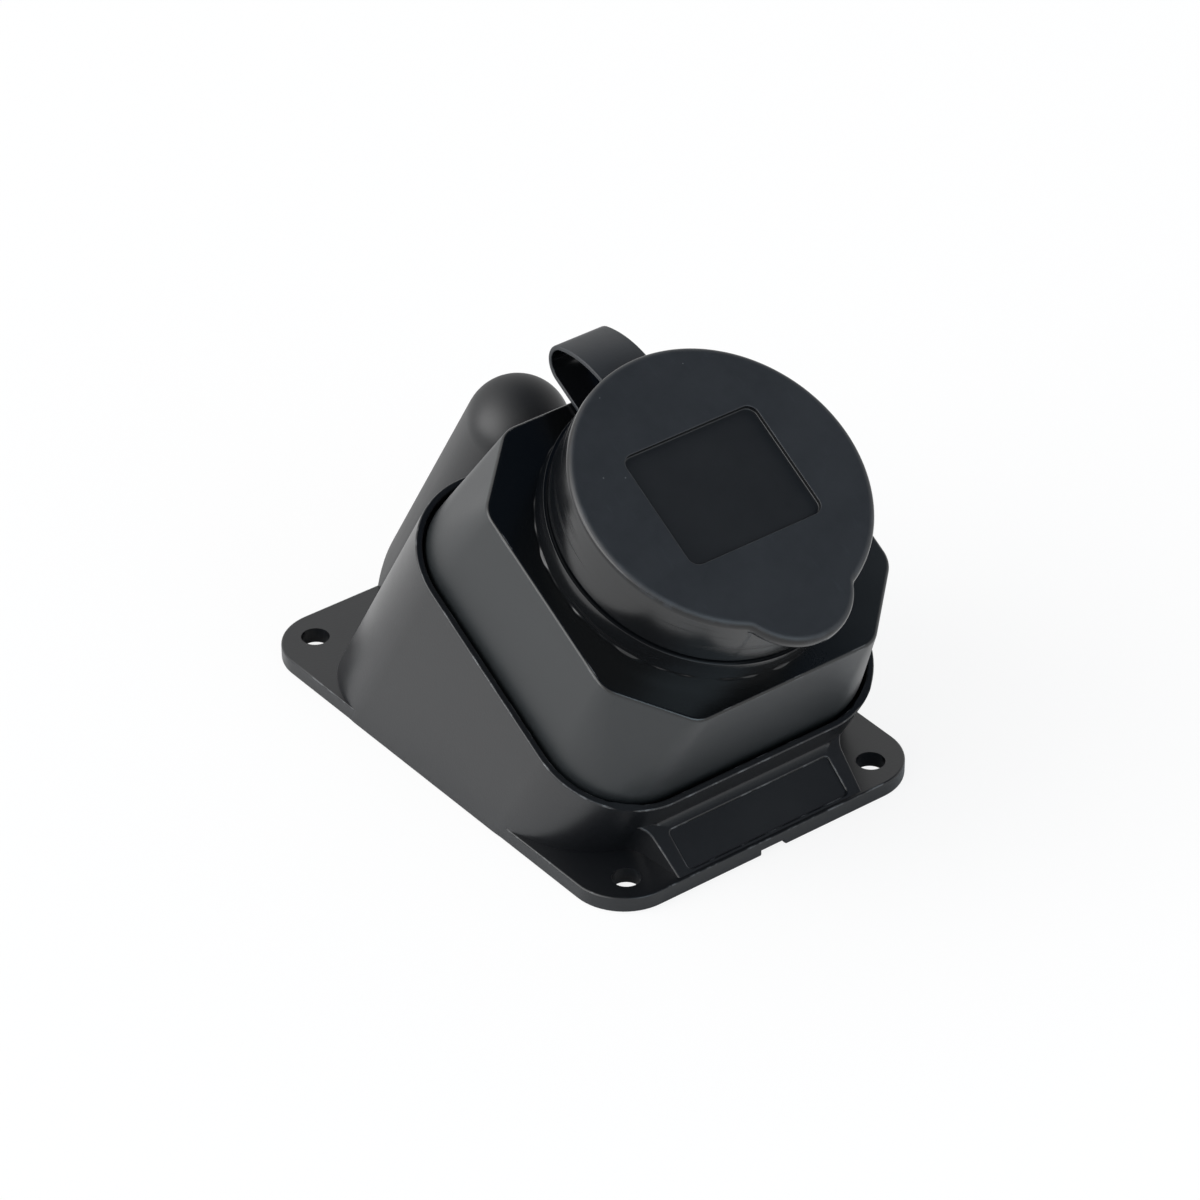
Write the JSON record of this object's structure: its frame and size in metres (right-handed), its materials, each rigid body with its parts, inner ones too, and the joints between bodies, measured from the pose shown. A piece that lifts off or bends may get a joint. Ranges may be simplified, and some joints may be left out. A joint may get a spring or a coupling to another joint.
{
  "type": "angled wall socket",
  "caption": "Angled surface-mount mains socket: tilted square housing on a screw-down wall plate, octagonal socket shell, round plug recess under a strapped rubber lid with a pull tab.",
  "frame": {"origin": "centre of the back face that lies on the wall, midway between the four wall screw holes", "axes": "+Z out of the wall, +Y up the wall towards the cable hump, +X to the right seen from the front"},
  "size_m": [0.0698, 0.1161, 0.0806],
  "materials": {
    "housing_plastic": "satin moulded black",
    "shell_plastic": "satin moulded black",
    "lid_rubber": "matte moulded rubber",
    "seal_rubber": "soft matte rubber",
    "carrier_plastic": "moulded off-white thermoset",
    "contact_brass": "stamped brass",
    "screw_steel": "zinc-plated steel"
  },
  "bodies": {
    "housing": {"wall_housing": "housing_plastic", "socket_shell": "shell_plastic", "shell_gasket": "seal_rubber", "shell_screws": "screw_steel", "lid_strap": "lid_rubber", "lid_ring": "lid_rubber", "cable_grommet": "seal_rubber", "contact_carrier": "carrier_plastic", "carrier_cover": "carrier_plastic", "carrier_screws": "screw_steel", "live_contact": "contact_brass", "neutral_contact": "contact_brass", "earth_clip_strip": "contact_brass", "live_clamp": "screw_steel", "neutral_clamp": "screw_steel", "earth_clamp": "screw_steel", "live_terminal_screw": "screw_steel", "neutral_terminal_screw": "screw_steel", "earth_terminal_screw": "screw_steel"},
    "lid": {"lid_cap": "lid_rubber"}
  },
  "joints": [
    {"name": "lid_hinge", "type": "hinge", "parent": "housing", "child": "lid", "pos_m": [0, 0.00027, 0.07363], "axis": [-1, 0, 0], "range_deg": [0, 110], "deforming": ["lid_strap"]}
  ]
}
